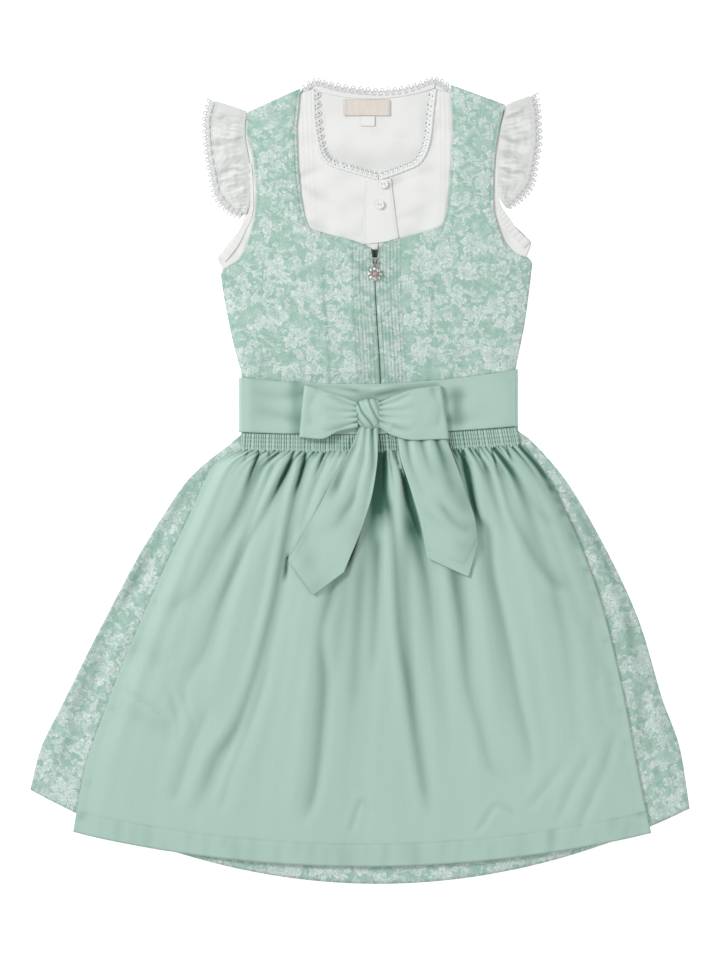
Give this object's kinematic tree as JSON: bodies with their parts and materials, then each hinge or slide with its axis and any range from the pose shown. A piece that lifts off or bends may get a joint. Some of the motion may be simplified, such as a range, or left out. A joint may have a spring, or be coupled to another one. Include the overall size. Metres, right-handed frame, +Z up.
{
  "type": "dirndl dress",
  "caption": "Child's dirndl laid flat: white blouse with lace and frill sleeves, front-zip bodice, gathered skirt, and an apron with sash and bow.",
  "frame": {"origin": "middle of the underside of the garment's box, on the surface it lies on", "axes": "+Y from the hem to the neck; +X across, to the right as seen from above; +Z up off the surface, out of the front of the dress"},
  "size_m": [0.6613, 0.8091, 0.0174],
  "materials": {
    "brocade": "woven floral brocade",
    "apron_satin": "fine plain weave, slight sheen",
    "cotton": "plain white cotton",
    "lace": "crochet-look edging",
    "button": "pearly",
    "zip_tape": "woven tape",
    "metal": "aged metal",
    "stone": "faceted bead",
    "label": "satin label"
  },
  "bodies": {
    "garment": {"skirt_back": "brocade", "skirt_front": "brocade", "bodice_back_left": "brocade", "bodice_back_right": "brocade", "bodice_front_left": "brocade", "bodice_front_right": "brocade", "zip_tape": "zip_tape", "zip_slider": "metal", "blouse_back": "cotton", "blouse_front_left": "cotton", "blouse_front_right": "cotton", "blouse_placket": "cotton", "blouse_button_1": "button", "blouse_button_2": "button", "neck_band_back": "cotton", "neck_lace_back": "lace", "neck_lace_left": "lace", "neck_lace_right": "lace", "armhole_binding_left": "cotton", "armhole_binding_right": "cotton", "frill_left": "cotton", "frill_right": "cotton", "frill_lace_left": "lace", "frill_lace_right": "lace", "neck_label": "label", "size_label": "label", "apron_panel": "apron_satin", "apron_smocked_band": "apron_satin", "sash_back": "apron_satin", "sash_front": "apron_satin", "bow_loop_left": "apron_satin", "bow_loop_right": "apron_satin", "bow_tail_left": "apron_satin", "bow_tail_right": "apron_satin", "bow_knot": "apron_satin"},
    "zip_charm": {"zip_charm": "metal", "charm_stone": "stone"}
  },
  "joints": [
    {"name": "charm_tilt", "type": "hinge", "parent": "garment", "child": "zip_charm", "pos_m": [0.015, 0.219, 0.0114], "axis": [-1, 0, 0], "range_deg": [0, 160]}
  ]
}
